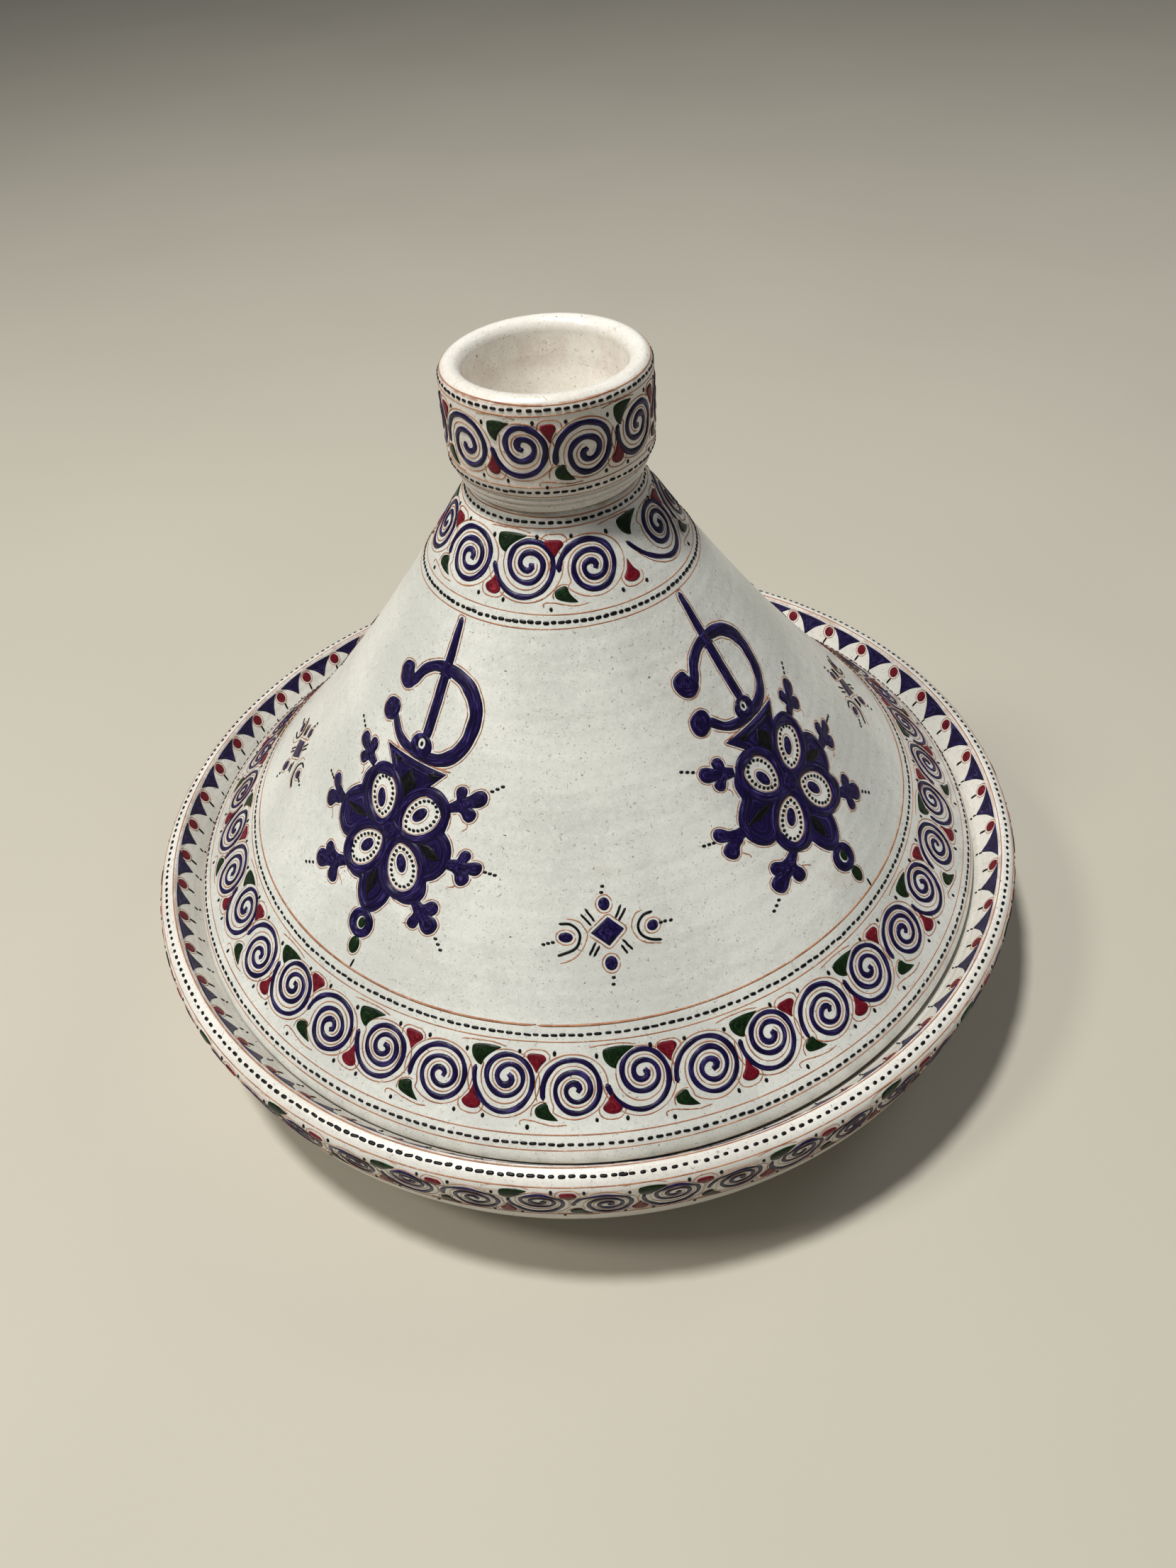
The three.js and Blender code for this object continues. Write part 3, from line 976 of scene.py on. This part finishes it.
def around(outline, gap, solids):
    """Lines a gap outside an outline, or inside it where the gap is below zero, left out where another solid
    is in the way."""
    line = inset(outline, -gap)
    clear = distance(line, [outline]) > KEPT_OWN * abs(gap)
    for loop in solids:
        if loop is not outline:
            clear &= ~inside(line, [loop]) & (distance(line, [loop]) > KEPT_OTHER * gap)
    if clear.all():
        return [np.vstack([line, line[:2]])]
    line = np.roll(line, -np.argmin(clear), 0)
    clear = np.roll(clear, -np.argmin(clear))
    runs = [[]]
    for point, free in zip(line, clear):
        if free:
            runs[-1].append(point)
        else:
            runs.append([])
    return [np.array(run) for run in runs if len(run) >= SHORTEST]


def thick_outline(line, half):
    """The closed outline of a stroke of that half width."""
    half = np.broadcast_to(half, len(line))[:, None]
    side = sideways(line)
    return resample(np.vstack([line + side * half, (line - side * half)[::-1]]), 0.5, closed=True)


def lobe(foot, tip, radius):
    """A blunt leaf from a foot to a round tip."""
    foot, tip = np.array(foot), np.array(tip)
    way = (tip - foot) / np.linalg.norm(tip - foot)
    side = np.array([-way[1], way[0]])
    middle = (foot + tip) / 2
    points = [foot + side * 0.85 * radius, middle + side * 0.75 * radius, tip + side * radius,
              tip + (way + side) * 0.78 * radius, tip + way * 1.1 * radius,
              tip + (way - side) * 0.78 * radius, tip - side * radius, middle - side * 0.75 * radius,
              foot - side * 0.85 * radius]
    return spline(points, 0.5, closed=True)


def pendant():
    """Every shape of one pendant with its color. Heights are above the glaze."""
    pin = np.linspace((-0.9, -0.3), (-0.7, 40.5), 40)
    pin_width = np.interp(pin[:, 1], [0, 5, 12, 22], [1.8, 2.7, 3.4, 3.9])
    ring = spline(RING, 0.7)
    ring_half = np.interp(ring[:, 0], [-14, -2, 12], [1.75, 2.0, 2.45]) * uneven(len(ring), 1, 0.06)
    petals = [teardrop(*petal[:4]) for petal in PETALS]
    flower = spline(FLOWER, 0.55, closed=True)
    small_ring = ellipse((-1.6, 43.4), 4.5, 4.2)
    blobs = [spline(UPPER_END, 0.5, closed=True), spline(LOWER_END, 0.5, closed=True)]
    low_ring = ellipse((-0.8, 106), 5.2, 5.0)
    drop = ellipse((-0.1, 113.7), 2.2, 3.0)

    yield "indigo", stroke(pin, pin_width, height=0.6)
    for v in (15, 18.8):
        yield "indigo", stroke(np.array([(-3.2, v + 0.5), (-0.8, v), (1.6, v + 0.4)]), 1.5, height=0.75)
    yield "indigo", stroke(ring, 2 * ring_half, height=0.42)
    for blob in blobs:
        yield "indigo", patch(blob, height=0.45)
    yield "indigo", patch(small_ring, height=0.62, holes=[ellipse((-1.6, 42.5), 1.5, 1.8, 0.4)])
    yield "black", patch(ellipse((-1.6, 42.6), 0.6, 0.9, 0.35), height=0.3, shoulder=0.3, pitch=0.6)
    yield "indigo", patch(flower, height=0.36, holes=petals)
    for petal in petals:
        yield "indigo", stroke(hand(looped(inset(petal, -1.8)), 0.1), 3.2, height=0.62)
    for edge in around(flower, -1.6, []):
        yield "indigo", stroke(hand(edge, 0.1), 2.8, height=0.52)
    yield "indigo", patch(ellipse(BOSS, 3.9, 3.9), height=0.75, shoulder=1.6)
    yield "indigo", patch(low_ring, height=0.42, holes=[ellipse((-0.7, 105.9), 1.8, 2.2, 0.4)])
    yield "green", patch(ellipse((-0.4, 105.8), 1.45, 1.9, 0.4), height=0.3, shoulder=0.5)
    yield "brown", trail(spline([(-14.8, 48.2), (-8, 47.7), (0, 47.9), (8, 47.7), (12.4, 47.5)], 0.7), 0.7)
    yield "green", patch(drop, height=0.36)
    yield "black", stroke(np.linspace((2.2, 117.8), (1.8, 121), 6), 0.8, HEIGHT["black"])

    for (_, out, _, _, middle), petal in zip(PETALS, petals):
        yield "brown", trail(looped(resample(inset(petal, 0.25), 0.7, closed=True)), 0.34)
        for u, v in resample(inset(petal, 1.45), 1.72, closed=True):
            yield "black", moved(dash(rng.uniform(1.2, 1.45), rng.uniform(1.05, 1.2)), u, v)
        core = ellipse(middle, 3.2, 1.9, axis=out)
        yield "indigo", patch(core, HEIGHT["indigo"])
        yield "brown", trail(looped(resample(inset(core, -0.7), 0.6, closed=True)), 0.32)
    for leaf in LEAVES:
        yield "black", patch(spline(leaf, 0.5, closed=True), height=0.62, shoulder=0.5)

    solids = [flower, thick_outline(ring, ring_half), small_ring, *blobs, low_ring, drop,
              thick_outline(pin, pin_width / 2)]
    for foot, lobes, tail, marks in TREFOILS:
        heart = np.mean([(u, v) for u, v, _ in lobes], axis=0) * 0.55 + np.array(foot) * 0.45
        stem = thick_outline(np.linspace(foot, heart, 8), np.linspace(1.5, 2.3, 8))
        leaves = [*(lobe(heart, (u, v), radius) for u, v, radius in lobes), stem]
        for leaf in leaves:
            yield "indigo", patch(leaf, height=0.4)
        solids += leaves
        bend = (np.array(tail[0]) + tail[1]) / 2 + (0.9, 0.3)
        yield "brown", trail(spline([tail[0], bend, tail[1]], 0.6))
        for u, v in marks:
            yield "black", moved(dash(1.4, 1.0), u, v)
    for outline in solids:
        for run in around(outline, OUTLINE_GAP, solids):
            yield "brown", trail(resample(run, 0.7), 0.42)


def lay(layers, motif, azimuths, down):
    """A motif at each azimuth, drawn anew and in full before it is laid on."""
    for azimuth in azimuths:
        for color, shape in list(motif()):
            layers[color].add(shape, azimuth, down)


emblems = coats(lid_skin, "lid", "emblem")
lay(emblems, pendant, PENDANTS, PENDANT_DOWN)


# ---- The four diamonds low on the cone ----

DIAMONDS = (2.5, 93, 180, -88)  # azimuths
DIAMOND_DOWN = 129
DROPS = [((-0.3, -8.7), 1.8, 2.1), ((0, 10), 2.0, 2.3), ((-13.3, 1), 2.3, 1.6), ((14.2, 0.4), 1.8, 1.7)]
BARS = [((-6.4, -7.8), (-3.7, -3.5)), ((-7.9, -6.2), (-4.9, -2.3)), ((4.9, -7.8), (2.8, -3.8)),
        ((6.3, -6.6), (3.7, -2.8)), ((-4.1, 3), (-6.6, 7)), ((-3, 4.1), (-5.2, 7.4)), ((4.2, 3), (7.2, 6.8)),
        ((3.7, 4.7), (5.4, 7.7))]
BLACK_ARCS = [[(-15, -3.3), (-11.5, -3.1), (-9.2, -1), (-8.9, 1.5), (-10.8, 4.6), (-16.5, 6.8)],
              [(14.6, -3.9), (11.5, -3.3), (9.6, -0.5), (10.3, 2.5), (13, 4.5), (16.7, 5.5)]]
BROWN_ARCS = [[(-12.5, -4.9), (-9, -4), (-7, -1.5), (-6.5, 1), (-9, 5.5), (-12, 8), (-16, 9.2)],
              [(11.5, -5.1), (9, -4.1), (7.6, -0.5), (8.8, 3), (11.5, 5.3), (16.5, 6.5)]]
MARKS = [(-17.5, 2.5), (-19, 2.8), (-20.5, 3.2), (16.9, 0.2), (18.3, 0.1), (20.2, 0.3), (-0.7, -12.4),
         (-0.2, -14.3), (0.2, 14.5), (-0.1, 16.6)]


def diamond():
    """Every shape of one diamond with its drops, bars and arcs, measured from its middle."""
    heart = resample(np.array([(-5.4, 0), (0.4, -4.6), (5.2, -0.2), (0, 4.6)]), 0.5, closed=True)
    yield "indigo", patch(heart, height=0.36)
    yield "brown", trail(resample(inset(heart, -0.9), 0.7, closed=True))
    for centre, across, up in DROPS:
        yield "indigo", patch(ellipse(centre, across, up), HEIGHT["indigo"])
        yield "brown", trail(resample(ellipse(centre, across + 0.8, up + 0.8), 0.6, closed=True))
    for start, end in BARS:
        yield "black", stroke(hand(np.linspace(start, end, 9), 0.06), 0.8, HEIGHT["black"])
    for points in BLACK_ARCS:
        yield "black", stroke(spline(points, 0.6), 0.9, HEIGHT["black"])
    for points in BROWN_ARCS:
        yield "brown", trail(spline(points, 0.6))
    for u, v in MARKS:
        yield "black", moved(dash(1.3, 1.0), u, v)


lay(emblems, diamond, DIAMONDS, DIAMOND_DOWN)

for layers in (flange, neck, cup, wall, rim, collar, emblems):
    for layer in layers.values():
        if layer.points:
            layer.piece()


# ---- Floor, light and camera ----

# Metres in this section
AIM = (0, 0, 0.08)  # what the lamps point at


def floor():
    """A plain pale floor."""
    mesh = bpy.data.meshes.new("floor")
    half = 4.0
    corners = [(-half, -half, 0), (half, -half, 0), (half, half, 0), (-half, half, 0)]
    mesh.from_pydata(corners, [], [(0, 1, 2, 3)])
    plane = bpy.data.objects.new("floor", mesh)
    bpy.context.scene.collection.objects.link(plane)
    g = Graph("floor", roughness=0.8)
    tone = g.noise(g.place(), 0.004, 2.0)
    g.feed(g.shader.inputs["Base Color"], g.mix(tone, rgb(200, 194, 180), rgb(190, 184, 170)))
    mesh.materials.append(g.material)


def lamp(name, place, size, power, color):
    """A round soft lamp pointed at the pot."""
    data = bpy.data.lights.new(name, "AREA")
    data.shape = "DISK"
    data.size = size
    data.energy = power
    data.color = color
    light = bpy.data.objects.new(name, data)
    light.location = place
    light.rotation_euler = (Vector(AIM) - Vector(place)).to_track_quat("-Z", "Y").to_euler()
    bpy.context.scene.collection.objects.link(light)


def camera():
    """Looks down at the pot from the front, a little rolled."""
    behind, above = 2.045, 2.333  # from the middle of the foot, in rim radii
    yaw, pitch, roll = (math.radians(angle) for angle in (0.488, -43.106, -4.506))
    forward = Vector((math.sin(yaw) * math.cos(pitch), math.cos(yaw) * math.cos(pitch), math.sin(pitch)))
    level = Vector((math.cos(yaw), -math.sin(yaw), 0))
    upright = level.cross(forward)
    right = math.cos(roll) * level + math.sin(roll) * upright
    up = math.cos(roll) * upright - math.sin(roll) * level
    data = bpy.data.cameras.new("camera")
    data.lens = 26.74
    data.sensor_width = 36
    view = bpy.data.objects.new("camera", data)
    turn = Matrix((right, up, -forward)).transposed().to_4x4()
    radius = rim_radius * MM
    view.matrix_world = Matrix.Translation((0, -behind * radius, above * radius)) @ turn
    bpy.context.scene.collection.objects.link(view)
    bpy.context.scene.camera = view


floor()
lamp("key", (-0.4, -0.15, 1.95), 0.2, 31, (0.98, 0.985, 0.95))
lamp("left", (-0.95, -0.35, 1.45), 0.3, 8, (1.0, 0.94, 0.86))
lamp("right", (1.15, 0.5, 1.4), 0.6, 2.4, (0.95, 0.97, 1.0))
world = bpy.data.worlds.new("studio")
world.use_nodes = True
world.node_tree.nodes["Background"].inputs["Color"].default_value = (0.9, 0.92, 0.95, 1)
world.node_tree.nodes["Background"].inputs["Strength"].default_value = 0.13
bpy.context.scene.world = world
bpy.context.scene.view_settings.view_transform = "Standard"
camera()
